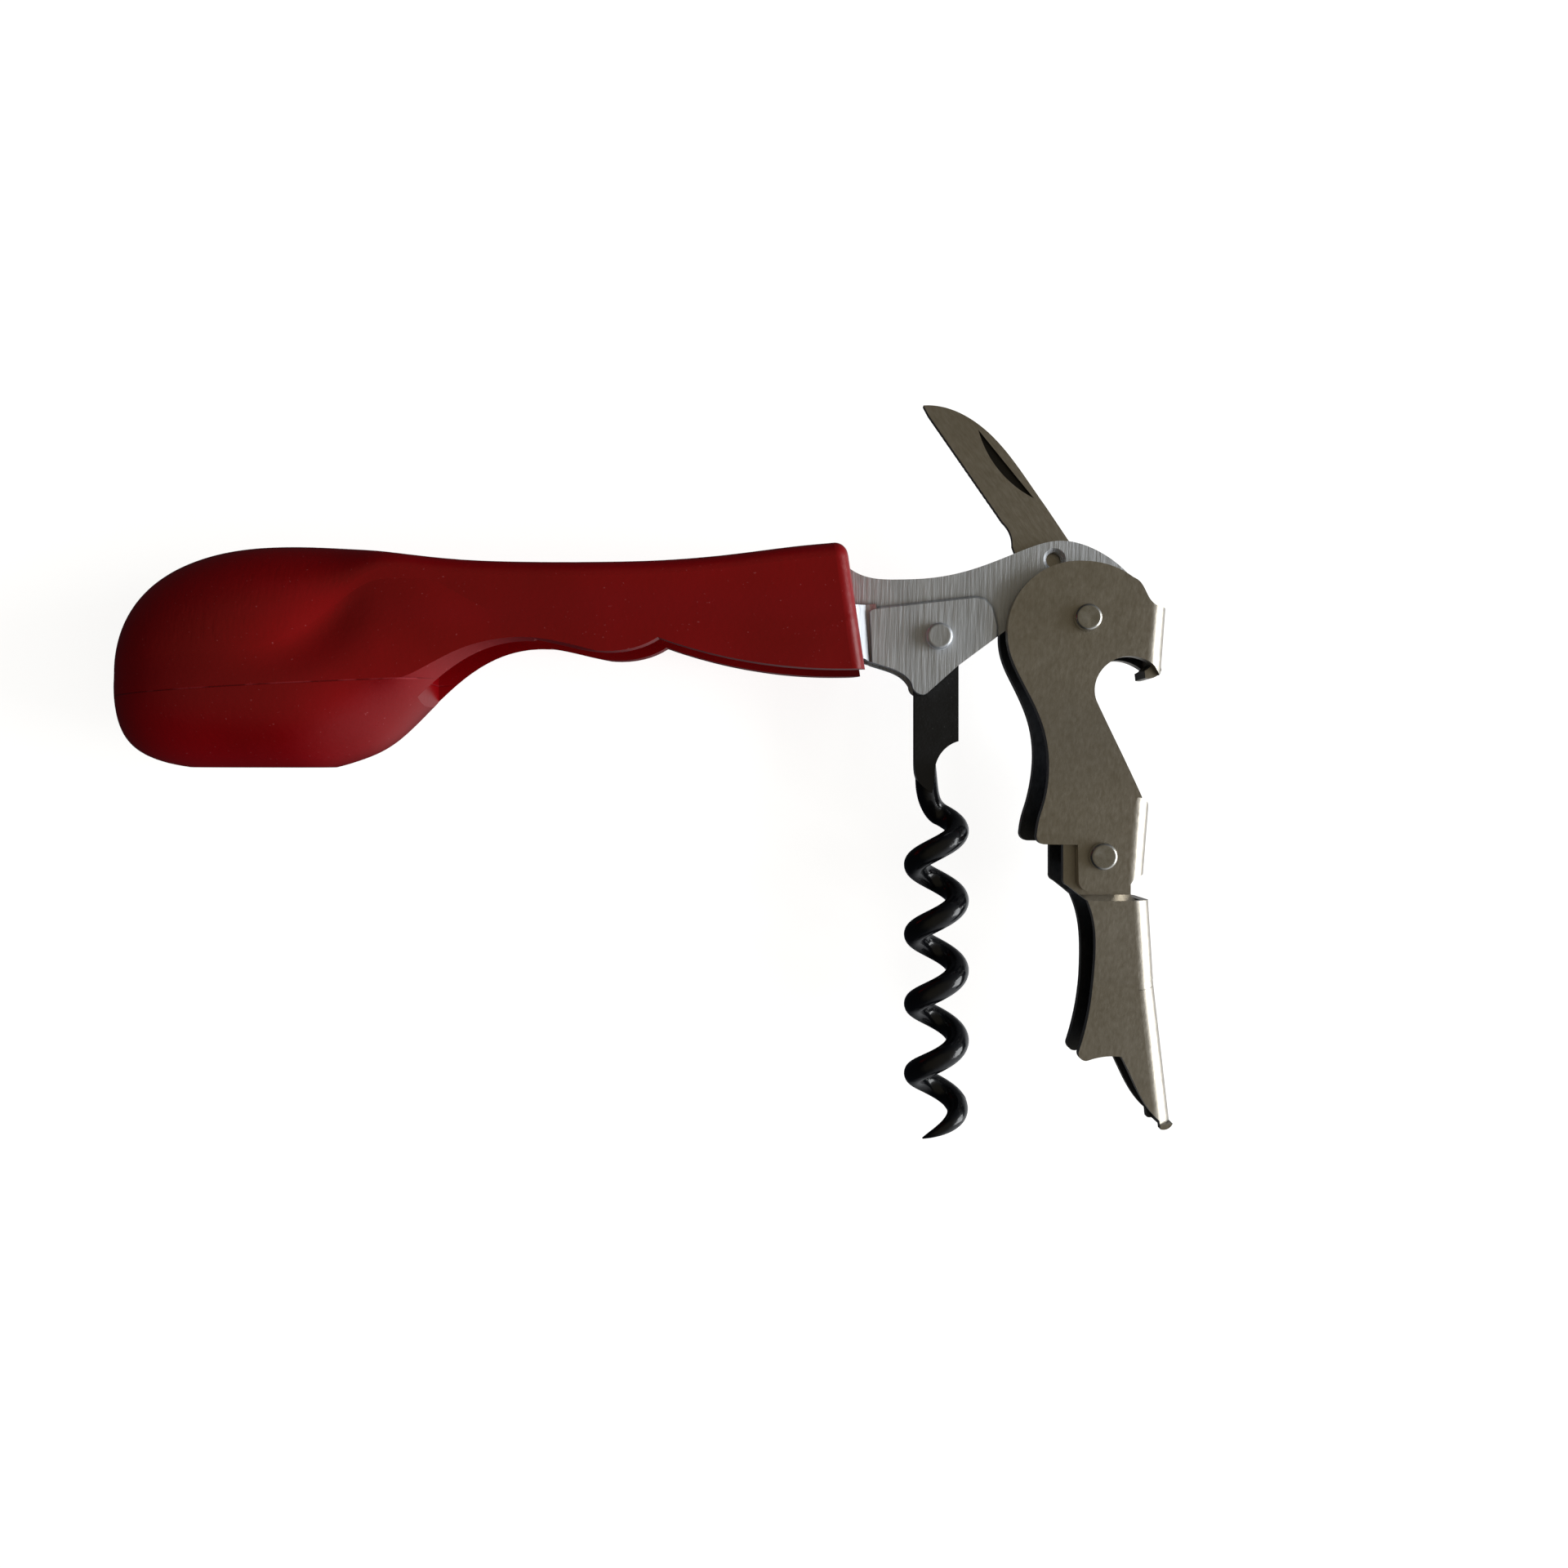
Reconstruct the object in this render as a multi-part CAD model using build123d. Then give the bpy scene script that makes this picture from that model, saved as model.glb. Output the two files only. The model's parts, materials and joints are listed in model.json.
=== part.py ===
from build123d import *
import os
from math import cos, radians, sin

os.makedirs("parts", exist_ok=True)

# A waiter's corkscrew lying on its side, in millimetres. X runs along the handle towards the
# lever, Y from the tip of the worm towards the knife, and Z across the thickness, upwards.
# Outlines are drawn in the side plane, from a datum on the mid-plane below the handle's mouth,
# and PLACE moves every piece into the part's own frame, with its origin under the middle.
PLACE = Pos(18.89, -1.78, 10.55)

# Pivots, in the side plane
WORM_PIVOT = (20.02, 19.08)
LEVER_PIVOT = (38.98, 21.37)
HINGE = (40.25, -9.14)

# Rivets
SHANK_R = 1.3
RUNNING_R = 1.35
HEAD_R = 1.73
HEAD_HEIGHT = 1.25
HEAD_CLEARANCE = 0.05
TANG_RIVET_R = 0.8
TANG_RIVET_XS = {"front": 3.0, "rear": -10.0}

# Handle
BULB_END = -87.0
CAP_START = -62.0
CAP_CENTRE_Y = 13.0
BULB_BASE_Y = 2.2
GRIP_HALF = 7.0
BULB_HALF = 10.5
GRIP_CORNER = 2.0
BULB_WALL = 2.4
MOUTH_LIP = 1.7
BAY_HALF = 4.8
BAY_END = -46.8
BAY_AXIS_Y = 19.1
SEAM_LEFT_Y = 10.9
SEAM_RIGHT = (-44.0, 13.4)

# Frame cheeks
CHEEK_SHEET = 1.2
CHEEK_GAP_HALF = 0.75
PANEL_OUTER = 2.75
TANG_BOTTOM = 24.05
TANG_TOP = 27.0
TANG_END = -14.0

# Worm
WORM_HALF_THICKNESS = 1.0
WORM_AXIS_X = 20.05
WORM_COIL_R = 2.75
WORM_WIRE_R = 1.5
WORM_PITCH = 9.17
WORM_FIRST_RIGHT_Y = -5.9
COIL_START = -0.2
COIL_TAPER = 3.95
COIL_END = 4.38
# The neck and the tip start this part of a turn inside the coil, and this much thinner
LAP = 0.02
LAP_SHARE = 0.98

# Knife and levers
KNIFE_HALF = 0.5
UPPER_SHEET = 1.5
LOWER_SHEET = 1.2
UPPER_BEND_R = 2.4
LOWER_BEND_R = 2.5


# ---------------------------------------------------------------- helpers
def prism(edges, low, high):
    """The closed outline drawn by these edges in the side plane, between two heights."""
    return Pos(0, 0, low) * extrude(make_face(edges), amount=high - low)


def cross_prism(edges, left, right):
    """A closed outline drawn as (y, z), run along X from left to right."""
    face = Plane.YZ * make_face(edges)
    return Pos(left, 0, 0) * extrude(face, amount=right - left)


def disc(centre, radius, low, high):
    """A round slug across the part."""
    return Pos(centre[0], centre[1], low) * extrude(Circle(radius), amount=high - low)


def washer(centre, outer, inner, low, high):
    return disc(centre, outer, low, high) - disc(centre, inner, low - 1, high + 1)


def polar(centre, radius, degrees):
    return (
        centre[0] + radius * cos(radians(degrees)),
        centre[1] + radius * sin(radians(degrees)),
    )


def ease(value, start, end):
    """Rises smoothly from 0 at start to 1 at end."""
    t = min(max((value - start) / (end - start), 0.0), 1.0)
    return t * t * (3 - 2 * t)


def rivet(centre, half_length, radius=SHANK_R, head=HEAD_R, rise=HEAD_HEIGHT):
    """A rivet across the part, with a domed head standing on each side."""
    body = disc(centre, radius, -half_length, half_length)
    knob = disc((0, 0), head, 0, rise)
    knob = fillet(knob.edges().group_by(Axis.Z)[-1], 0.45)
    top = Pos(centre[0], centre[1], half_length) * knob
    return body + top + mirror(top, Plane.XY)


# ---------------------------------------------------------------- handle
# Each station of the handle: x, top, crease and bottom height. The crease is the line where
# the side turns into the underside.
HANDLE_STATIONS = [
    (CAP_START, 30.85, 12.2, 1.7),
    (-56.0, 30.4, 12.6, 3.1),
    (-51.5, 29.8, 12.9, 5.4),
    (-48.0, 29.3, 13.2, 8.8),
    (-44.5, 28.9, 14.9, 12.5),
    (-41.0, 28.6, 16.8, 15.3),
    (-37.0, 28.4, 18.1, 17.3),
    (-32.0, 28.3, 18.5, 18.0),
    (-24.0, 28.3, 16.9, 16.3),
    (-16.0, 28.5, 15.4, 14.8),
    (-6.0, 29.35, 14.2, 13.6),
    (3.0, 30.45, 13.2, 12.6),
    (12.0, 31.6, 12.6, 12.0),
]
ROUND = 0.5523


def handle_section(x, top, crease, bottom, inset=0.0, above=1.0, below=1.0):
    """One closed cross-section: flat top, rounded shoulders, flaring sides, keel below.

    The end of the bulb shrinks it about its centre line, by one share above and one below.
    """
    half_top = GRIP_HALF + 3.2 * ease(x, -53, -67) - inset
    half_low = GRIP_HALF + (BULB_HALF - GRIP_HALF) * ease(x, -31, -64) - inset
    across = GRIP_CORNER + 6.7 * ease(x, -48, -65)
    down = GRIP_CORNER + 12.0 * ease(x, -49, -66)
    top -= inset
    bottom += inset
    shoulder = top - down
    flare = min(19.3 + 0.49 * (-31.5 - x), shoulder - 0.1 * (shoulder - crease))
    flare = max(flare, crease + 0.4 * (shoulder - crease))
    kink = 0.4 * (1 - ease(x, -48, -58))
    sharp = ease(x, -60, -47)
    depth = crease - bottom
    half = [
        (half_top - across, top),
        (half_top - across * (1 - ROUND), top),
        (half_top, shoulder + ROUND * down),
        (half_top, shoulder),
        (half_top, flare),
        (half_top + kink * (half_low - half_top), flare - 0.35 * (flare - crease)),
        (half_low, crease + 0.3 * (flare - crease)),
        (half_low, crease),
        (half_low * (1 - 0.3 * sharp), crease - ROUND * depth * (1 - 0.2 * sharp)),
        (half_low * ROUND, bottom),
        (0.0, bottom),
    ]

    def at(index, side):
        z, y = half[index]
        scale = above if y > CAP_CENTRE_Y else below
        return (x, CAP_CENTRE_Y + (y - CAP_CENTRE_Y) * scale, side * z * above)

    edges = [Line(at(0, -1), at(0, 1))]
    for side in (1, -1):
        edges += [Bezier(*[at(start + n, side) for n in range(4)]) for start in (0, 4, 7)]
        edges.append(Line(at(3, side), at(4, side)))
    return Wire(edges)


def handle_loft(inset=0.0):
    """The whole handle without its hollows, or its inner surface when inset."""
    length = CAP_START - BULB_END - inset
    stations = [s for s in HANDLE_STATIONS if inset == 0 or s[0] < -53]
    sections = [
        handle_section(
            CAP_START - length * share,
            *HANDLE_STATIONS[0][1:],
            inset,
            (1 - share ** 2.5) ** 0.4,
            (1 - share ** 4) ** 0.25,
        )
        for share in (0.995, 0.97, 0.91, 0.82, 0.68, 0.52, 0.3)
    ]
    sections += [handle_section(*s, inset) for s in stations]
    return Solid.make_loft(sections)


def underside_cut():
    """What is cut away below the grip: two finger bumps that meet in a sharp notch."""
    cusp = (-15.9, 18.5)
    edges = [
        Spline((12.5, 14.75), (0.0, 14.9), (-8.2, 16.25), cusp),
        Spline(cusp, (-19.0, 17.15), (-22.6, 16.75), (-27.5, 17.5), (-31.5, 18.4)),
        Line((-31.5, 18.4), (-38.0, 16.0)),
        Polyline((-38.0, 16.0), (-38.0, 4.0), (12.5, 4.0), (12.5, 14.75)),
    ]
    return prism(edges, -20, 20)


def front_cut():
    """What lies past the slanted front end of the handle."""
    edges = Polyline((5.8, 45.0), (13.55, -7.0), (40.0, -7.0), (40.0, 45.0), close=True)
    return prism(edges, -20, 20)


def worm_bay():
    """The tunnel that takes the folded worm: round-roofed, open below and in front."""
    length = 15.0 - BAY_END
    roof = Rot(0, 90, 0) * Cylinder(BAY_HALF, length)
    walls = Box(length, 30, 2 * BAY_HALF)
    middle = (15.0 + BAY_END) / 2
    mouth = Pos(10.5, 16.7, 0) * Box(9, 13.4, 2 * BAY_HALF)
    return Pos(middle, BAY_AXIS_Y, 0) * roof + Pos(middle, BAY_AXIS_Y - 15, 0) * walls + mouth


def seam_block():
    """Everything under the seam that runs round the bulb."""
    right_x, right_y = SEAM_RIGHT
    edges = Polyline(
        (BULB_END - 5, SEAM_LEFT_Y), (right_x, right_y), (right_x, -5), (BULB_END - 5, -5), close=True
    )
    return prism(edges, -20, 20)


def handle_shells():
    """The grip with the upper half of the bulb, and the cap that closes the bulb below."""
    body = handle_loft() - front_cut() - underside_cut()
    end_face = body.faces().sort_by(Axis.X)[-1]
    rim = [e for e in end_face.edges() if e.center().Y > 15.5]
    body = fillet(rim, MOUTH_LIP)
    body -= Pos(-70, BULB_BASE_Y - 10, 0) * Box(60, 20, 30)
    hollow = handle_loft(BULB_WALL) - Pos(-70, BULB_BASE_Y + BULB_WALL - 10, 0) * Box(60, 20, 30)
    body -= hollow
    body -= worm_bay()
    tang_outer = CHEEK_GAP_HALF + CHEEK_SHEET
    tang = Polyline(
        (TANG_END, TANG_BOTTOM), (TANG_END, TANG_TOP), (7.4, TANG_TOP), (7.4, 28.4),
        (15, 28.4), (15, 20.0), (0, 20.0), (0, TANG_BOTTOM), close=True,
    )
    body -= prism(tang, -tang_outer, tang_outer)
    body -= Pos(9.4, 32.0, 0) * Box(12.0, 10.4, 2.2)
    below = seam_block()
    return body - below, body & below


# ---------------------------------------------------------------- frame
def cheek_outline():
    """The outline of a frame cheek, from the tang round the nose and back along the lobe."""
    nose = polar(LEVER_PIVOT, 6.2, 0)
    throat = polar(LEVER_PIVOT, 6.2, -165)
    return [
        Line((TANG_END, TANG_TOP), (7.6, TANG_TOP)),
        Line((7.6, TANG_TOP), (8.4, 28.15)),
        Spline((8.4, 28.15), (10.6, 27.0), (14.9, 26.6), (19.1, 26.8), (23.4, 27.6), (30.8, 30.3),
               (36.1, 31.65), (40.9, 30.3), (44.9, 27.2)),
        Spline((44.9, 27.2), (45.9, 24.8), nose, tangents=[(0.6, -0.8), (0, -1)]),
        ThreePointArc(nose, polar(LEVER_PIVOT, 6.2, -80), throat),
        Spline(throat, (30.6, 21.0), (28.0, 19.35), tangents=[(-0.26, 0.97), (-0.8, -0.55)]),
        Line((28.0, 19.35), (22.4, 15.2)),
        Line((22.4, 15.2), (18.75, 11.95)),
        Spline((18.75, 11.95), (17.9, 11.6), (17.0, 12.0), (16.6, 12.9)),
        Spline((16.6, 12.9), (15.9, 13.85), (13.7, 15.05), (10.4, 16.2)),
        Polyline((10.4, 16.2), (6.9, 16.4), (6.9, TANG_BOTTOM), (TANG_END, TANG_BOTTOM), (TANG_END, TANG_TOP)),
    ]


def panel_outline(inset):
    """The embossed panel round the worm pivot. It runs out through the lobe's lower edge."""
    points = [
        (11.3, 10.0), (10.75, 22.9), (24.9, 24.5), (26.2, 24.2), (27.25, 23.0), (27.9, 20.6), (27.9, 10.0),
    ]
    face = make_face(Polyline(*points, close=True))
    corners = [v for v in face.vertices() if v.Y > 11]
    face = fillet(corners, 0.9)
    return offset(face, -inset, kind=Kind.INTERSECTION) if inset else face


def cheek():
    """The cheek on the +Z side: a flat sheet, an embossed panel and a flared collar."""
    outer = CHEEK_GAP_HALF + CHEEK_SHEET
    sheet = prism(cheek_outline(), CHEEK_GAP_HALF, outer)
    raised = Pos(0, 0, CHEEK_GAP_HALF) * extrude(panel_outline(0.0), amount=outer - CHEEK_GAP_HALF)
    raised += loft([Pos(0, 0, outer) * panel_outline(0.0), Pos(0, 0, PANEL_OUTER) * panel_outline(0.4)])
    inner = PANEL_OUTER - CHEEK_SHEET
    pocket = Pos(0, 0, -1) * extrude(panel_outline(0.7), amount=1 + inner)
    pocket += Pos(11.7, 16.65, 0) * Box(3, 13.3, 2.2)
    sheet -= Pos(5.85, 16.65, 0) * Box(11.7, 13.3, 8)
    collar_points = [
        (12.3, PANEL_OUTER), (11.5, 2.4), (10.95, 2.35), (9.3, 3.9), (8.3, 4.6), (6.9, 4.7),
        (6.9, 3.5), (7.9, 3.4), (8.7, 2.85), (10.3, 1.3), (10.7, 1.15), (12.3, 1.15),
    ]
    collar_face = Plane.XZ * make_face(Polyline(*collar_points, close=True))
    collar = Pos(0, 23.25, 0) * extrude(collar_face, amount=12)
    collar = Pos(11, 19, 0) * Rot(0, 0, 5) * Pos(-11, -19, 0) * collar
    body = sheet + raised - pocket + collar
    body &= prism(cheek_outline(), 0, 8)
    for centre in (WORM_PIVOT, LEVER_PIVOT):
        body -= disc(centre, SHANK_R, 0, 8)
    for x in TANG_RIVET_XS.values():
        body -= disc((x, (TANG_BOTTOM + TANG_TOP) / 2), TANG_RIVET_R, 0, 8)
    return body


def detent_hole():
    """The small countersunk hole over the root of the knife."""
    outer = CHEEK_GAP_HALF + CHEEK_SHEET
    centre = (35.2, 29.2)
    sink = Pos(centre[0], centre[1], outer - 0.2) * Cone(1.03, 1.48, 0.42)
    return disc(centre, 1.03, 0, 8) + sink


# ---------------------------------------------------------------- worm
def coil_point(turn):
    """A point on the coil's centre line. Turn 0 is the first bend on the lever's side."""
    angle = radians(360 * turn)
    return Vector(
        WORM_AXIS_X + WORM_COIL_R * cos(angle),
        WORM_FIRST_RIGHT_Y - WORM_PITCH * turn,
        WORM_COIL_R * sin(angle),
    )


def coil_heading(turn):
    return (coil_point(turn + 0.001) - coil_point(turn - 0.001)).normalized()


def coil_circle(turn, radius):
    return Plane(origin=coil_point(turn), z_dir=coil_heading(turn)) * Circle(radius)


def neck(steps=7):
    """The bent wire that grows out of the flat shank and leads into the first turn."""
    end = COIL_START + LAP
    joint = coil_point(end)
    path = Bezier(Vector(18.85, 8.0, 0), Vector(18.4, -1.0, 0), joint - 2.6 * coil_heading(end), joint)
    sections = []
    for n in range(steps + 1):
        share = n / steps
        radius = LAP_SHARE * WORM_WIRE_R * (0.55 + 0.45 * ease(share, 0, 0.6))
        sections.append(Plane(origin=path @ share, z_dir=path % share) * Circle(radius))
    return loft(sections)


def coil():
    """The full turns of the worm."""
    steps = 9 * round(COIL_TAPER - COIL_START)
    turns = [COIL_START + (COIL_TAPER - COIL_START) * n / steps for n in range(steps + 1)]
    path = Spline(*[coil_point(turn) for turn in turns])
    return sweep(coil_circle(COIL_START, WORM_WIRE_R), path=path)


def coil_tip(steps=8):
    """The last part of a turn, ground down to a point."""
    first = COIL_TAPER - LAP
    sections = []
    for n in range(steps + 1):
        share = n / steps
        radius = WORM_WIRE_R * (LAP_SHARE - (LAP_SHARE - 0.07) * share ** 1.6)
        sections.append(coil_circle(first + (COIL_END - first) * share, radius))
    return loft(sections)


def worm():
    """A flat eye and shank, a bent neck, and a right-handed open coil with a sharp tip."""
    left, right = 17.1, 22.85
    x, y = WORM_PIVOT
    eye_r = (right - left) / 2
    middle = (left + right) / 2
    shank_edges = [
        ThreePointArc((left, y), (middle, y + eye_r), (right, y)),
        Line((right, y), (right, 5.6)),
        ThreePointArc((right, 5.6), (20.7, 4.2), (19.75, 1.2)),
        Line((19.75, 1.2), (19.4, -1.2)),
        Spline((19.4, -1.2), (17.6, 0.3), (left, 3.0), tangents=[(-0.8, 0.5), (0, 1)]),
        Line((left, 3.0), (left, y)),
    ]
    shank = prism(shank_edges, -WORM_HALF_THICKNESS, WORM_HALF_THICKNESS)
    shank -= disc(WORM_PIVOT, RUNNING_R, -2, 2)
    return shank + neck() + coil() + coil_tip()


# ---------------------------------------------------------------- knife
def knife():
    """The foil blade, between the cheeks on the lever's rivet."""
    root = 5.3
    heel = polar(LEVER_PIVOT, root, 165)
    back = polar(LEVER_PIVOT, root, 35)
    tip = (18.3, 49.7)
    edges = [
        Spline(tip, (20.6, 49.55), (25.7, 47.1), (30.0, 42.6), (34.3, 36.5)),
        Line((34.3, 36.5), (38.6, 30.1)),
        Line((38.6, 30.1), back),
        ThreePointArc(back, polar(LEVER_PIVOT, root, -80), heel),
        Spline(heel, (31.6, 27.2), (30.0, 31.2)),
        Spline((30.0, 31.2), (29.7, 33.0), (28.7, 34.4)),
        Line((28.7, 34.4), (19.0, 48.4)),
        Line((19.0, 48.4), tip),
    ]
    blade = prism(edges, -KNIFE_HALF, KNIFE_HALF)
    blade -= disc(LEVER_PIVOT, RUNNING_R, -2, 2)
    first, last, teeth = (27.9, 35.4), (20.3, 46.35), 17
    for n in range(teeth):
        share = n / (teeth - 1)
        centre = (
            first[0] + (last[0] - first[0]) * share - 0.33,
            first[1] + (last[1] - first[1]) * share - 0.23,
        )
        blade -= disc(centre, 0.52, -2, 2)
    nick = [
        Line((25.5, 46.5), (32.8, 37.5)),
        ThreePointArc((32.8, 37.5), (28.2, 41.2), (25.5, 46.5)),
    ]
    return blade - prism(nick, 0.12, 2)


# ---------------------------------------------------------------- levers
def between(points, at):
    """Reads a value off a list of (position, value) points, straight from one to the next."""
    for (p0, v0), (p1, v1) in zip(points, points[1:]):
        if min(p0, p1) <= at <= max(p0, p1):
            return v0 + (v1 - v0) * (at - p0) / (p1 - p0)
    raise ValueError(at)


def bend_cutters(web, half_widths, radius, overrun):
    """What rounds the two long edges where a web meets its flanges. The web is (y, x) points."""
    breaks = {y for y, _ in web + half_widths if web[-1][0] <= y <= web[0][0]}
    corners = [Vector(between(web, y), y, -between(half_widths, y)) for y in sorted(breaks)]
    cutters = []
    for start, end in zip(corners, corners[1:]):
        along = (end - start).normalized()
        corner = Plane(origin=start - overrun * along, x_dir=(-1, 0, 0), z_dir=along)
        profile = Rectangle(2 * radius, 2 * radius) - Pos(radius, radius) * Circle(radius)
        profile -= Pos(radius, 0) * Rectangle(2 * radius, 8 * radius, align=(Align.MIN, Align.CENTER))
        profile -= Pos(0, radius) * Rectangle(8 * radius, 2 * radius, align=(Align.CENTER, Align.MIN))
        cutter = corner * extrude(profile, amount=(end - start).length + 2 * overrun)
        cutters += [cutter, mirror(cutter, Plane.XY)]
    return cutters


def kinked_sides(half_widths):
    """A channel seen along X, with straight runs from one half width to the next."""
    return Polyline(*half_widths, *[(y, -z) for y, z in reversed(half_widths)], close=True)


def swelling_sides(half_widths):
    """A channel seen along X: straight at both ends, with one smooth swell between them."""
    near = list(half_widths)
    far = [(y, -z) for y, z in near]
    level = [(-1, 0), (-1, 0)]
    edges = [Line(near[0], far[0]), Line(near[-1], far[-1])]
    for side in (near, far):
        edges += [Line(*side[:2]), Spline(*side[1:-1], tangents=level), Line(*side[-2:])]
    return edges


def channel(outline, half_widths, sides, hollow_outline, sheet):
    """A folded channel: the outline's prism, cut to a width that varies along Y, and hollowed."""
    reach = 8
    inner_widths = [(y, z - sheet) for y, z in half_widths]
    body = prism(outline, -reach, reach) & cross_prism(sides(half_widths), 20, 60)
    return body - (cross_prism(sides(inner_widths), 20, 60) & prism(hollow_outline, -reach, reach))


def upper_lever_outline():
    centre, radius = (38.0, 19.5), 9.24
    lobe_end = polar(centre, radius, 180)
    lobe_top = polar(centre, radius, 90)
    return [
        Line((49.7, 22.75), (48.1, 23.0)),
        Spline((48.1, 23.0), (47.0, 24.0), (46.4, 25.2), (45.0, 26.6)),
        Spline((45.0, 26.6), (42.2, 28.1), lobe_top, tangents=[(-0.8, 0.6), (-1, 0)]),
        ThreePointArc(lobe_top, polar(centre, radius, 135), lobe_end),
        Spline(lobe_end, (30.4, 13.8), (32.8, 8.6), (33.7, 2.4), (32.9, -2.6), (32.0, -6.4),
               tangents=[(0, -1), (-0.1, -1)]),
        ThreePointArc((32.0, -6.4), (32.25, -7.3), (33.1, -7.65)),
        Line((33.1, -7.65), (37.2, -7.7)),
        Line((37.2, -7.7), (37.3, -12.2)),
        ThreePointArc((37.3, -12.2), (37.7, -13.2), (38.65, -13.6)),
        Line((38.65, -13.6), (42.5, -13.6)),
        Spline((42.5, -13.6), (43.6, -13.0), (44.4, -11.9)),
        Line((44.4, -11.9), (46.05, -11.5)),
        Line((46.05, -11.5), (46.7, -3.35)),
        Spline((46.7, -3.35), (46.4, -2.4), (45.4, -1.8)),
        Line((45.4, -1.8), (40.15, 10.7)),
        Spline((40.15, 10.7), (39.95, 12.1), (40.4, 13.9), (42.0, 15.7), (44.0, 16.45), (46.3, 16.1),
               (47.8, 15.2)),
        Line((47.8, 15.2), (48.6, 14.1)),
        Line((48.6, 14.1), (49.1, 14.6)),
        Line((49.1, 14.6), (49.7, 22.75)),
    ]


def upper_lever():
    """The first step of the lever, with the round cheeks, the cap lifter and the boot step."""
    narrow, wide = 3.7, 6.2
    swell = [(y, narrow + (wide - narrow) * ease(y, 14, -3)) for y in (14, 10.6, 7.2, 3.8, 0.4, -3)]
    half_widths = [(32, narrow), *swell, (-16, wide)]
    web_inner = Polyline(
        (20, 32), (48.35, 32), (48.2, 22.75), (47.6, 14.0), (45.5, 4.0), (45.25, -3.35), (44.6, -16), (20, -16),
        close=True,
    )

    body = channel(upper_lever_outline(), half_widths, swelling_sides, web_inner, UPPER_SHEET)
    for web in ([(22.75, 49.7), (14.6, 49.1)], [(-3.35, 46.7), (-11.5, 46.05)]):
        for cutter in bend_cutters(web, half_widths, UPPER_BEND_R, 1.5):
            body -= cutter
    lip = [
        Line((48.7, 16.6), (49.0, 14.8)),
        ThreePointArc((49.0, 14.8), (48.2, 13.9), (46.9, 13.75)),
        Line((46.9, 13.75), (46.8, 14.7)),
        ThreePointArc((46.8, 14.7), (47.5, 15.2), (47.75, 16.6)),
        Line((47.75, 16.6), (48.7, 16.6)),
    ]
    body += prism(lip, -2.3, 2.3)
    for centre in (LEVER_PIVOT, HINGE):
        body -= disc(centre, RUNNING_R, -9, 9)
    return body


def lower_lever_outline():
    lug_r = 4.1
    top = polar(HINGE, lug_r, 90)
    right = polar(HINGE, lug_r, 0)
    return [
        Line((47.0, -14.9), (48.05, -25.8)),
        Line((48.05, -25.8), (50.15, -43.2)),
        ThreePointArc((50.15, -43.2), (49.6, -44.3), (48.5, -44.5)),
        Line((48.5, -44.5), (48.35, -43.4)),
        Spline((48.35, -43.4), (46.9, -41.8), (45.2, -38.8), (43.4, -35.1)),
        Spline((43.4, -35.1), (41.6, -35.05), (39.2, -35.55)),
        ThreePointArc((39.2, -35.55), (38.1, -35.3), (37.95, -34.3)),
        Spline((37.95, -34.3), (39.2, -29.4), (39.85, -23.0), (39.7, -18.4), (38.7, -14.9)),
        Line((38.7, -14.9), (36.3, -13.0)),
        ThreePointArc((36.3, -13.0), (35.8, -12.6), (35.7, -12.0)),
        Line((35.7, -12.0), (35.7, -7.4)),
        Spline((35.7, -7.4), (36.6, -5.7), top, tangents=[(0, 1), (1, 0)]),
        ThreePointArc(top, polar(HINGE, lug_r, 45), right),
        Line(right, (44.35, -14.3)),
        Line((44.35, -14.3), (44.9, -14.9)),
        Line((44.9, -14.9), (47.0, -14.9)),
    ]


def lower_lever():
    """The second step of the lever: lugs inside the upper lever, a heel and a tongue."""
    half_widths = [(0, 4.6), (-14.15, 4.6), (-14.9, 5.2), (-25.8, 3.95), (-46, 3.5)]
    web_inner = Polyline(
        (20, 0), (45.7, 0), (45.8, -14.9), (46.85, -25.8), (48.9, -42.8), (49.2, -46), (20, -46), close=True
    )

    body = channel(lower_lever_outline(), half_widths, kinked_sides, web_inner, LOWER_SHEET)
    web = [(-14.9, 47.0), (-25.8, 48.05), (-43.2, 50.15)]
    for cutter in bend_cutters(web, half_widths, LOWER_BEND_R, 0.5):
        body -= cutter
    body -= disc(HINGE, RUNNING_R, -9, 9)
    return body


# ---------------------------------------------------------------- assembly
def tang_spacer():
    """The plate that holds the tangs of the two cheeks apart inside the handle."""
    height = TANG_TOP - TANG_BOTTOM
    plate = Pos((TANG_END + 7.4) / 2, TANG_BOTTOM + height / 2, 0) * Box(
        7.4 - TANG_END, height, 2 * CHEEK_GAP_HALF
    )
    for x in TANG_RIVET_XS.values():
        plate -= disc((x, TANG_BOTTOM + height / 2), TANG_RIVET_R, -2, 2)
    return plate


def tang_rivet(x):
    half = CHEEK_GAP_HALF + CHEEK_SHEET
    return disc((x, (TANG_BOTTOM + TANG_TOP) / 2), TANG_RIVET_R, -half, half)


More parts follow.
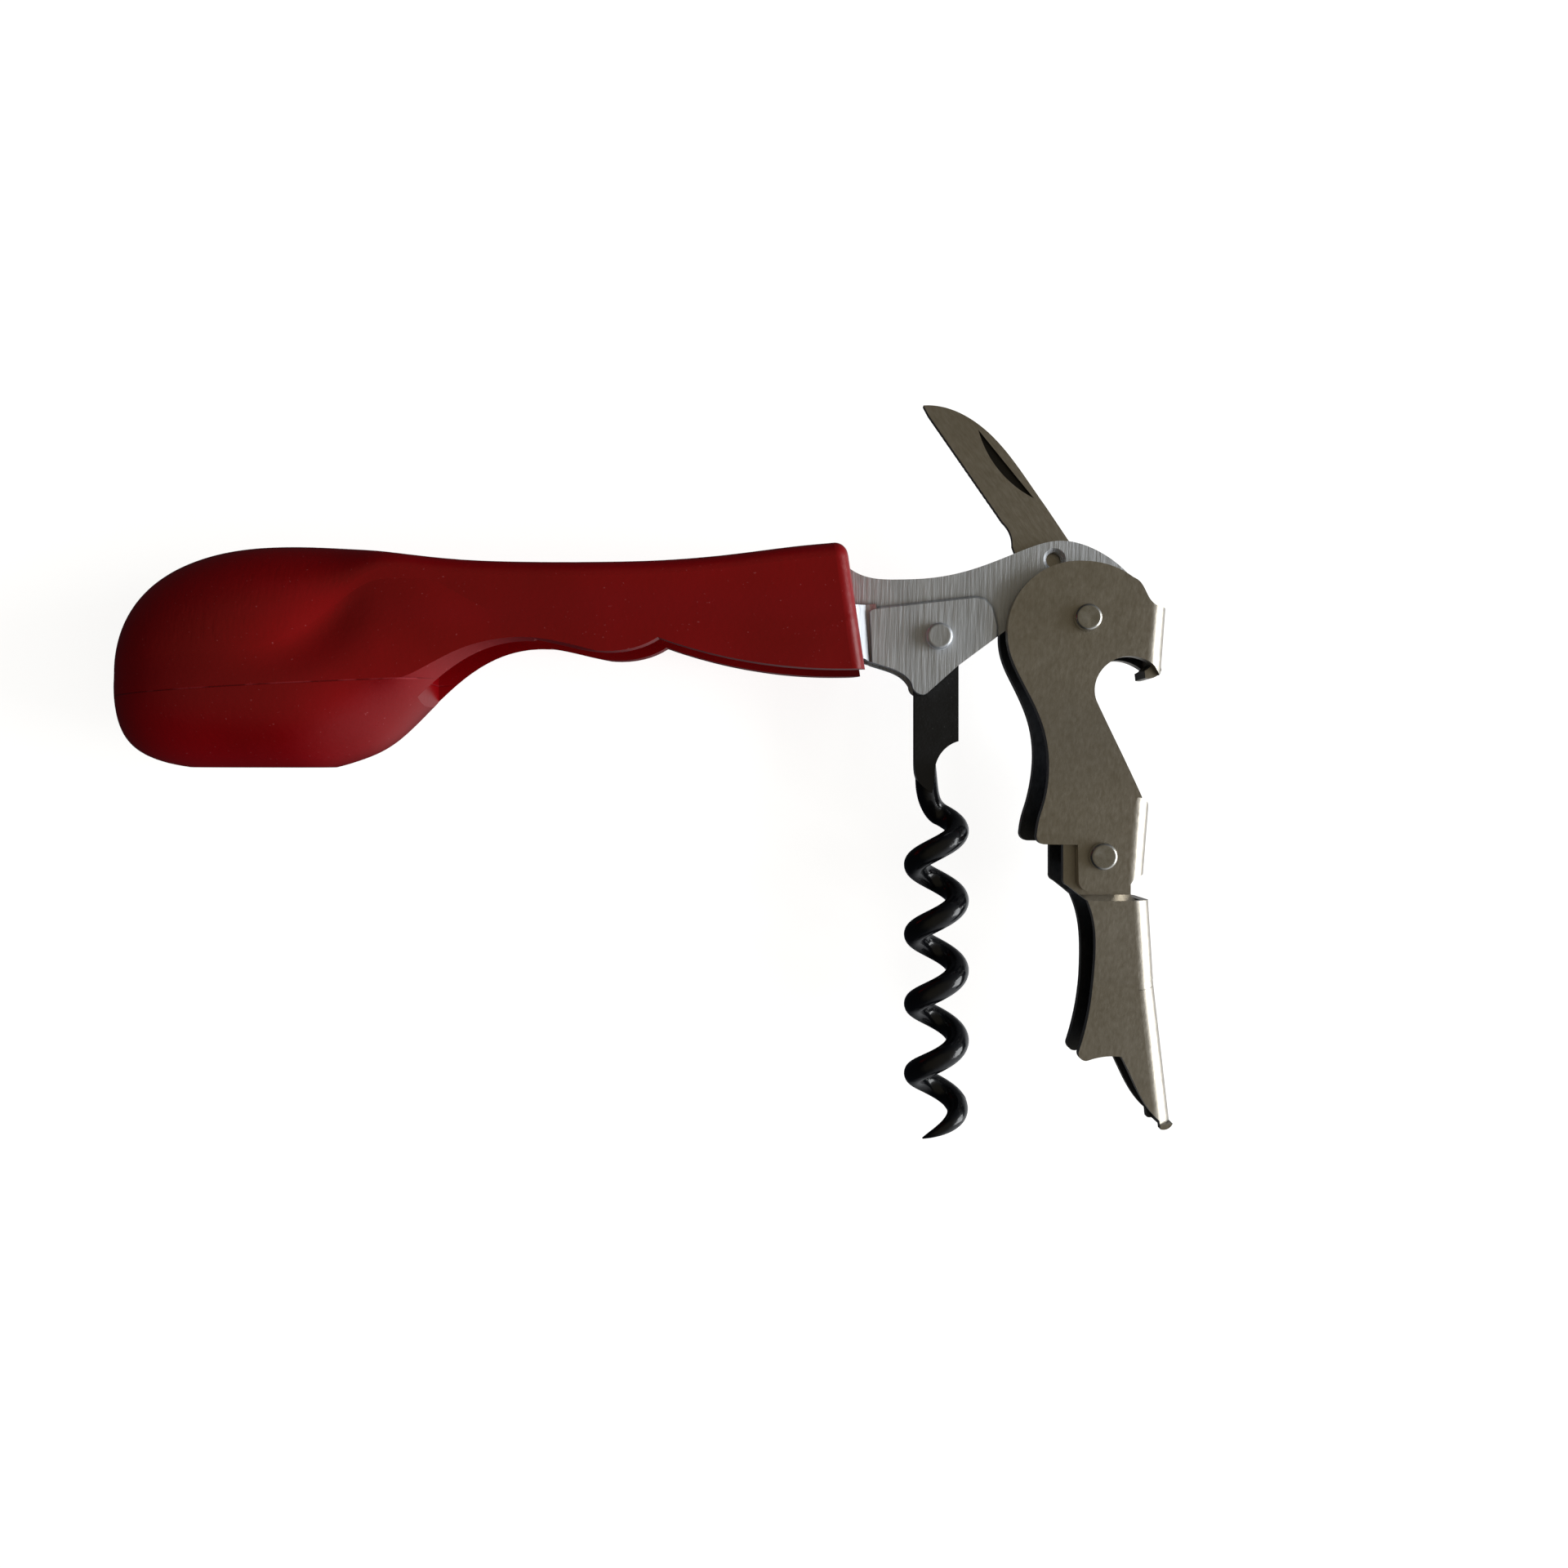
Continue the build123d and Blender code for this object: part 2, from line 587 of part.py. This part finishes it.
def build():
    """Every piece of the corkscrew, by the name of its node."""
    upper_shell, lower_shell = handle_shells()
    front_cheek = cheek()
    worm_head_at = PANEL_OUTER
    lever_head_at = 3.7 + HEAD_CLEARANCE
    hinge_head_at = 6.2 + HEAD_CLEARANCE
    worm_washer = washer(WORM_PIVOT, 2.6, SHANK_R, 1.02, 1.53)
    knife_washer = washer(LEVER_PIVOT, 4.0, SHANK_R, 0.52, 0.73)
    sleeve_half = 4.6 - LOWER_SHEET - 0.05
    pieces = {
        "handle_upper_shell": upper_shell,
        "handle_lower_shell": lower_shell,
        "front_cheek": front_cheek - detent_hole(),
        "back_cheek": mirror(front_cheek, Plane.XY),
        "tang_spacer": tang_spacer(),
        "worm": worm(),
        "worm_rivet": rivet(WORM_PIVOT, worm_head_at),
        "worm_washer_front": worm_washer,
        "worm_washer_back": mirror(worm_washer, Plane.XY),
        "foil_knife": knife(),
        "knife_washer_front": knife_washer,
        "knife_washer_back": mirror(knife_washer, Plane.XY),
        "lever_rivet": rivet(LEVER_PIVOT, lever_head_at),
        "upper_lever": upper_lever(),
        "lower_lever": lower_lever(),
        "hinge_rivet": rivet(HINGE, hinge_head_at),
        "hinge_sleeve": washer(HINGE, 2.2, SHANK_R, -sleeve_half, sleeve_half),
    }
    for place, x in TANG_RIVET_XS.items():
        pieces[f"tang_rivet_{place}"] = tang_rivet(x)
    return pieces


for name, piece in build().items():
    placed = PLACE * piece
    export_step(placed, f"parts/{name}.step")
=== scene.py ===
import json

import bpy
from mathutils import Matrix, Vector


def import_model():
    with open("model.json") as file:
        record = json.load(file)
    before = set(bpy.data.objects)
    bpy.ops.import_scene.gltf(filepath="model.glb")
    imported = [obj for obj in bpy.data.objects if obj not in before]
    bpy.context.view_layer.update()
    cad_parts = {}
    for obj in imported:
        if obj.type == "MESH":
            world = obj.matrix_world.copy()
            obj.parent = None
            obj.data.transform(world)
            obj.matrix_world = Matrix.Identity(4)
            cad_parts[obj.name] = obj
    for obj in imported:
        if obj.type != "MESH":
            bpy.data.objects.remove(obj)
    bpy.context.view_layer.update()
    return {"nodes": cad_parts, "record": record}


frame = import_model()

# The design's datum, in the middle of the corkscrew's thickness. The camera hangs over it and
# looks straight down. Lengths are in metres and lens sizes in millimetres.
DATUM = Vector((0.01889, -0.00178, 0.01055))
CAMERA_HEIGHT = 0.160
CAMERA_CLIP_START = 0.01
SENSOR = 36.0
LENS = 27.9

# The stage: a floor under the object, and one large window to the right.
FLOOR_REACH = 3.0
FLOOR_GLOW = 0.85
WINDOW_PLACE = (0.60, -0.04, 0.15)
WINDOW_AIM = Vector((0, 0, 0.01))
WINDOW_POWER = 2.6
WINDOW_SIZE = 0.40
WINDOW_COLOUR = (0.97, 0.99, 1.0)


# ---------------------------------------------------------------- node helpers
class Nodes:
    """A small helper that adds nodes to one tree and links them as it goes."""

    def __init__(self, tree):
        self.tree = tree
        tree.nodes.clear()

    def add(self, kind, settings=None, **inputs):
        node = self.tree.nodes.new(kind)
        for key, value in (settings or {}).items():
            setattr(node, key, value)
        for key, value in inputs.items():
            self.put(node, key.replace("_", " "), value)
        return node

    def put(self, node, name, value):
        socket = node.inputs[int(name)] if name.isdigit() else node.inputs[name]
        if isinstance(value, bpy.types.NodeSocket):
            self.tree.links.new(value, socket)
        else:
            socket.default_value = value

    def place(self):
        """Coordinates in the object's own frame, in metres."""
        return self.add("ShaderNodeTexCoord").outputs["Object"]

    def stretched(self, scale, angle=0.0):
        """The object's coordinates, turned about Z and scaled unevenly."""
        about_z = {"rotation_type": "Z_AXIS"}
        turned = self.add("ShaderNodeVectorRotate", about_z, Vector=self.place(), Angle=angle)
        return self.add("ShaderNodeMapping", Vector=turned.outputs[0], Scale=scale).outputs[0]

    def split(self, vector):
        """The sockets X, Y and Z of a vector."""
        return self.add("ShaderNodeSeparateXYZ", Vector=vector).outputs

    def noise(self, vector, scale, detail=3.0, rough=0.5):
        node = self.add(
            "ShaderNodeTexNoise", Vector=vector, Scale=scale, Detail=detail, Roughness=rough
        )
        return node.outputs["Fac"]

    def span(self, value, low, high, to_low=0.0, to_high=1.0, smooth=False):
        """Value taken from the span low to high over to the span to_low to to_high."""
        settings = {"interpolation_type": "SMOOTHSTEP"} if smooth else None
        ends = {"From_Min": low, "From_Max": high, "To_Min": to_low, "To_Max": to_high}
        return self.add("ShaderNodeMapRange", settings, Value=value, **ends).outputs[0]

    def maths(self, operation, first, second=0.0):
        node = self.add("ShaderNodeMath", {"operation": operation})
        self.put(node, "0", first)
        self.put(node, "1", second)
        return node.outputs[0]

    def mix(self, share, first, second):
        """The first colour, with this share of the second."""
        node = self.add("ShaderNodeMix", {"data_type": "RGBA"})
        self.put(node, "0", share)
        self.put(node, "6", first)
        self.put(node, "7", second)
        return node.outputs[2]

    def bump(self, height, strength, distance, normal=None):
        node = self.add("ShaderNodeBump", Height=height, Strength=strength, Distance=distance)
        if normal is not None:
            self.put(node, "Normal", normal)
        return node.outputs[0]

    def surface(self, **inputs):
        shader = self.add("ShaderNodeBsdfPrincipled", **inputs)
        out = self.add("ShaderNodeOutputMaterial")
        self.tree.links.new(shader.outputs[0], out.inputs[0])


def material(name):
    made = bpy.data.materials.new(name)
    made.use_nodes = True
    return made, Nodes(made.node_tree)


def rgb(red, green, blue):
    return (red, green, blue, 1.0)


def scaled(colour, factor):
    """The colour made lighter or darker, and held at full white."""
    return rgb(*[min(1.0, factor * share) for share in colour[:3]])


# ---------------------------------------------------------------- materials
def red_plastic():
    """Moulded red plastic: a satin skin with faint flow marks, dust specks and the bulb's seam."""
    made, n = material("red_plastic")
    place = n.place()
    cloud = n.span(n.noise(place, 45.0, 4.0), 0.35, 0.68)
    colour = n.mix(cloud, rgb(0.33, 0.0004, 0.002), rgb(0.43, 0.0006, 0.004))
    streak = n.span(n.noise(n.stretched((14.0, 110.0, 110.0)), 1.0, 5.0), 0.45, 0.75)
    colour = n.mix(n.maths("MULTIPLY", streak, 0.3), colour, rgb(0.45, 0.003, 0.014))
    speck = n.span(n.noise(place, 2600.0, 1.0), 0.74, 0.80)
    colour = n.mix(n.maths("MULTIPLY", speck, 0.45), colour, rgb(0.72, 0.16, 0.18))
    axes = n.split(place)
    level = n.maths("MULTIPLY", axes["X"], SEAM_SLOPE)
    off = n.maths("SUBTRACT", n.maths("SUBTRACT", axes["Y"], level), SEAM_AT)
    near = n.span(n.maths("ABSOLUTE", off), *SEAM_HALF_WIDTHS, 1.0, 0.0)
    on_bulb = n.span(axes["X"], SEAM_END - SEAM_FADE, SEAM_END, 1.0, 0.0)
    seam = n.maths("MULTIPLY", near, on_bulb)
    scuff = n.span(n.noise(n.stretched((260.0, 40.0, 40.0)), 1.0, 3.0), 0.52, 0.60)
    seam_colour = n.mix(scuff, rgb(0.13, 0.0, 0.003), rgb(0.60, 0.05, 0.07))
    colour = n.mix(n.maths("MULTIPLY", seam, 0.6), colour, seam_colour)
    rough = n.span(n.noise(place, 150.0, 5.0, 0.6), 0.3, 0.7, 0.27, 0.36)
    rough = n.maths("ADD", rough, n.maths("MULTIPLY", speck, 0.15))
    peel = n.bump(n.noise(place, 1300.0, 2.0), 0.10, 0.0002)
    groove = n.bump(n.maths("MULTIPLY", seam, -1.0), 0.5, 0.0001, peel)
    n.surface(Base_Color=colour, Roughness=rough, Normal=groove, IOR=1.48, Specular_IOR_Level=0.5)
    return made


def height_and_tilt(n, place):
    """How far a point lies above the mid-plane, and how far its face looks up (1) or down (-1)."""
    height = n.maths("SUBTRACT", n.split(place)["Z"], DATUM.z)
    return height, n.split(n.add("ShaderNodeNewGeometry").outputs["Normal"])["Z"]


def inside_faces(n, place):
    """1 on the faces of a folded channel that look into it, which get painted shade."""
    height, tilt = height_and_tilt(n, place)
    inward = n.maths("MULTIPLY", n.maths("SIGN", height), tilt)
    return n.span(inward, -0.4, -0.8)


def nick_floor(n, place):
    """1 on the floor of the blade's nail nick, which gets painted shade."""
    height, tilt = height_and_tilt(n, place)
    above = n.span(height, *NICK_FLOOR_FROM)
    low = n.maths("MULTIPLY", above, n.span(height, *NICK_FLOOR_TO))
    return n.maths("MULTIPLY", low, n.span(tilt, 0.4, 0.8))


def brushed(
    name,
    dark,
    light,
    scale,
    angle,
    rough,
    bump,
    blotch=40.0,
    metal=1.0,
    folded=False,
    nick=False,
    worn=0.5,
):
    """Brushed steel, darkened by painted shade in its creases. scale is how tight the grain is
    across X, Y and Z after the turn by angle.

    rough is the least and most roughness, blotch the scale of the stains, and worn the share of
    scratches. A folded channel gets painted shade on its inner faces, and a nick painted shade on
    its floor.
    """
    made, n = material(name)
    place = n.place()
    grain = n.noise(n.stretched(scale, angle), 1.0, 4.0, 0.62)
    wide = n.noise(n.stretched(tuple(s * 0.22 for s in scale), angle), 1.0, 3.0)
    share = n.maths("ADD", n.span(grain, 0.3, 0.7, 0.0, 0.7), n.span(wide, 0.35, 0.65, 0.0, 0.3))
    colour = n.mix(share, dark, light)
    stain = n.span(n.noise(place, blotch, 4.0, 0.6), 0.42, 0.72)
    stained = n.maths("MULTIPLY", stain, 0.3 * worn + 0.07)
    colour = n.mix(stained, colour, scaled(dark, 0.7))
    across, along, through = scale
    scratch = n.noise(n.stretched((across, along * 0.25, through), angle), 1.0, 1.0)
    scratch = n.span(scratch, 0.66, 0.72)
    colour = n.mix(n.maths("MULTIPLY", scratch, worn), colour, scaled(light, 1.25))
    if folded:
        # Painted shade: the faces that look into the channel are darkened to blue-black.
        channel_shade = n.maths("MULTIPLY", inside_faces(n, place), 0.88)
        colour = n.mix(channel_shade, colour, rgb(0.045, 0.06, 0.09))
    if nick:
        # Painted shade: the floor of the nail nick is darkened to near-black.
        nick_shade = n.maths("MULTIPLY", nick_floor(n, place), 0.93)
        colour = n.mix(nick_shade, colour, rgb(0.02, 0.02, 0.022))
    shine = n.maths("ADD", n.span(grain, 0.3, 0.7, *rough), n.maths("MULTIPLY", stain, 0.06))
    # Painted shade: the colour is darkened towards near-black in creases and corners, as far as
    # the ambient occlusion reaches.
    corners = n.add(
        "ShaderNodeAmbientOcclusion", {"samples": 8, "only_local": True}, Distance=CREASE_SHADE_REACH
    )
    crease_shade = n.span(corners.outputs["AO"], 0.55, 0.95, 0.6, 0.0)
    colour = n.mix(crease_shade, colour, rgb(0.03, 0.03, 0.032))
    normal = n.bump(grain, bump, 0.00012)
    n.surface(Base_Color=colour, Roughness=shine, Normal=normal, Metallic=metal)
    return made


def worm_coating():
    """Black baked coating: speckled and dull on the flat shank, glossy on the coil."""
    made, n = material("worm_coating")
    place = n.place()
    shank = n.span(n.split(place)["Y"], COIL_TOP, COIL_TOP + SHANK_FADE, smooth=True)
    speck = n.span(n.noise(place, 3200.0, 2.0), 0.66, 0.76)
    pale = n.maths("MULTIPLY", speck, shank)
    colour = n.mix(pale, rgb(0.006, 0.007, 0.009), rgb(0.07, 0.075, 0.075))
    cloud = n.span(n.noise(place, 260.0, 4.0), 0.4, 0.7)
    colour = n.mix(n.maths("MULTIPLY", cloud, 0.5), colour, rgb(0.013, 0.014, 0.018))
    wave = n.span(n.noise(place, 420.0, 3.0), 0.3, 0.7, 0.0, 0.08)
    rough = n.maths("ADD", n.maths("MULTIPLY", shank, 0.30), n.maths("ADD", wave, 0.13))
    orange = n.bump(n.noise(place, 700.0, 3.0), 0.22, 0.0003)
    grit = n.bump(n.maths("MULTIPLY", n.noise(place, 4000.0, 2.0), shank), 0.35, 0.0001, orange)
    n.surface(Base_Color=colour, Roughness=rough, Normal=grit, IOR=1.55)
    return made


# The seam runs round the bulb, from its far end to the neck, and rises a little on the way.
SEAM_LOW_X, SEAM_HIGH_X = -0.092, -0.044
SEAM_LOW_Y, SEAM_HIGH_Y = 0.0109, 0.0134
SEAM_SLOPE = (SEAM_HIGH_Y - SEAM_LOW_Y) / (SEAM_HIGH_X - SEAM_LOW_X)
SEAM_END = DATUM.x + SEAM_HIGH_X
SEAM_AT = DATUM.y + SEAM_HIGH_Y - SEAM_SLOPE * SEAM_END
SEAM_HALF_WIDTHS = (0.00003, 0.00012)
SEAM_FADE = 0.003

# The worm is glossy below COIL_TOP and speckled above it.
COIL_TOP = DATUM.y + 0.0005
SHANK_FADE = 0.004

# Where the floor of the nail nick begins and ends, above the mid-plane.
NICK_FLOOR_FROM = (0.00002, 0.00005)
NICK_FLOOR_TO = (0.0004, 0.0003)

# How far the painted crease shade on the steels reaches.
CREASE_SHADE_REACH = 0.0008

# Each steel's dark and light grain.
STEEL_TAN = (rgb(0.50, 0.465, 0.40), rgb(0.60, 0.56, 0.49))
STEEL_BLUE = (rgb(0.66, 0.69, 0.73), rgb(0.90, 0.93, 0.97))
STEEL_RIVET = (rgb(0.55, 0.54, 0.50), rgb(0.74, 0.73, 0.70))
STEEL_WASHER = (rgb(0.45, 0.45, 0.44), rgb(0.62, 0.62, 0.61))

FINISHES = {
    "handle_plastic": red_plastic(),
    "frame_steel": brushed(
        "brushed_frame_steel",
        *STEEL_BLUE,
        scale=(2600.0, 160.0, 160.0),
        angle=0.02,
        rough=(0.44, 0.60),
        bump=0.7,
        blotch=60.0,
        metal=0.80,
    ),
    "lever_steel": brushed(
        "satin_lever_steel",
        *STEEL_TAN,
        scale=(2400.0, 1100.0, 1800.0),
        angle=0.15,
        rough=(0.30, 0.38),
        bump=0.16,
        folded=True,
        worn=0.12,
    ),
    "blade_steel": brushed(
        "ground_blade_steel",
        *STEEL_TAN,
        scale=(2600.0, 700.0, 1800.0),
        angle=-0.62,
        rough=(0.30, 0.40),
        bump=0.22,
        nick=True,
        worn=0.2,
    ),
    "rivet_steel": brushed(
        "rivet_steel",
        *STEEL_RIVET,
        scale=(700.0, 700.0, 300.0),
        angle=0.0,
        rough=(0.20, 0.34),
        bump=0.22,
    ),
    "washer_steel": brushed(
        "washer_steel",
        *STEEL_WASHER,
        scale=(900.0, 900.0, 300.0),
        angle=0.0,
        rough=(0.30, 0.42),
        bump=0.2,
    ),
    "worm_coating": worm_coating(),
}
BRIGHT_RIVET = brushed(
    "bright_rivet_steel",
    *STEEL_BLUE,
    scale=(1500.0, 250.0, 250.0),
    angle=0.05,
    rough=(0.34, 0.5),
    bump=0.5,
    blotch=200.0,
    metal=0.85,
)


def dress_nodes():
    """Every CAD node gets its record slot's finish, and the worm's rivet a brighter one."""
    for part in frame["record"]["subparts"]:
        node = frame["nodes"][part["node"]]
        for held in node.material_slots:
            held.material = FINISHES[part["material_slot"]]
    frame["nodes"]["worm_rivet"].material_slots[0].material = BRIGHT_RIVET


dress_nodes()


# ---------------------------------------------------------------- stage
def floor():
    """A pale floor that glows, so that it renders white, but lights and mirrors nothing."""
    made, n = material("pale_floor")
    cloud = n.span(n.noise(n.place(), 6.0, 3.0), 0.3, 0.7)
    colour = n.mix(cloud, rgb(0.86, 0.86, 0.855), rgb(0.90, 0.90, 0.895))
    glow = {"Emission_Color": rgb(1, 1, 1), "Emission_Strength": FLOOR_GLOW}
    n.surface(Base_Color=colour, Roughness=0.75, **glow)
    mesh = bpy.data.meshes.new("floor")
    signs = [(-1, -1), (1, -1), (1, 1), (-1, 1)]
    corners = [(x * FLOOR_REACH, y * FLOOR_REACH, 0) for x, y in signs]
    mesh.from_pydata(corners, [], [(0, 1, 2, 3)])
    mesh.materials.append(made)
    made_floor = bpy.data.objects.new("floor", mesh)
    bpy.context.scene.collection.objects.link(made_floor)
    made_floor.visible_glossy = False
    made_floor.visible_diffuse = False


def world():
    """A dim room: darkest to the left and behind, bright to the right, brownish overhead.

    The camera itself sees a plain pale backdrop.
    """
    made = bpy.data.worlds.new("room")
    made.use_nodes = True
    n = Nodes(made.node_tree)
    axes = n.split(n.add("ShaderNodeTexCoord").outputs["Generated"])
    right = n.span(axes["X"], -0.3, 0.9, smooth=True)
    side = n.mix(right, rgb(0.012, 0.014, 0.018), rgb(0.73, 0.75, 0.775))
    behind = n.span(axes["Y"], 0.15, 0.75, smooth=True)
    side = n.mix(n.maths("MULTIPLY", behind, 0.85), side, rgb(0.02, 0.021, 0.024))
    up = n.span(axes["Z"], 0.35, 0.90, smooth=True)
    room = n.mix(up, side, rgb(0.135, 0.118, 0.085))
    seen = n.add("ShaderNodeLightPath").outputs["Is Camera Ray"]
    backdrop = n.mix(seen, room, rgb(0.82, 0.82, 0.815))
    shade = n.add("ShaderNodeBackground", Color=backdrop, Strength=1.0)
    out = n.add("ShaderNodeOutputWorld")
    made.node_tree.links.new(shade.outputs[0], out.inputs[0])
    bpy.context.scene.world = made


def window():
    data = bpy.data.lights.new("window", "AREA")
    data.energy = WINDOW_POWER
    data.size = WINDOW_SIZE
    data.color = WINDOW_COLOUR
    lamp = bpy.data.objects.new("window", data)
    lamp.location = WINDOW_PLACE
    lamp.rotation_mode = "QUATERNION"
    lamp.rotation_quaternion = (WINDOW_AIM - lamp.location).to_track_quat("-Z", "Y")
    bpy.context.scene.collection.objects.link(lamp)


def camera():
    data = bpy.data.cameras.new("camera")
    data.sensor_width = SENSOR
    data.lens = LENS
    data.clip_start = CAMERA_CLIP_START
    made = bpy.data.objects.new("camera", data)
    made.location = DATUM + Vector((0, 0, CAMERA_HEIGHT))
    bpy.context.scene.collection.objects.link(made)
    bpy.context.scene.camera = made


camera()
floor()
world()
window()
bpy.context.scene.view_settings.view_transform = "Standard"
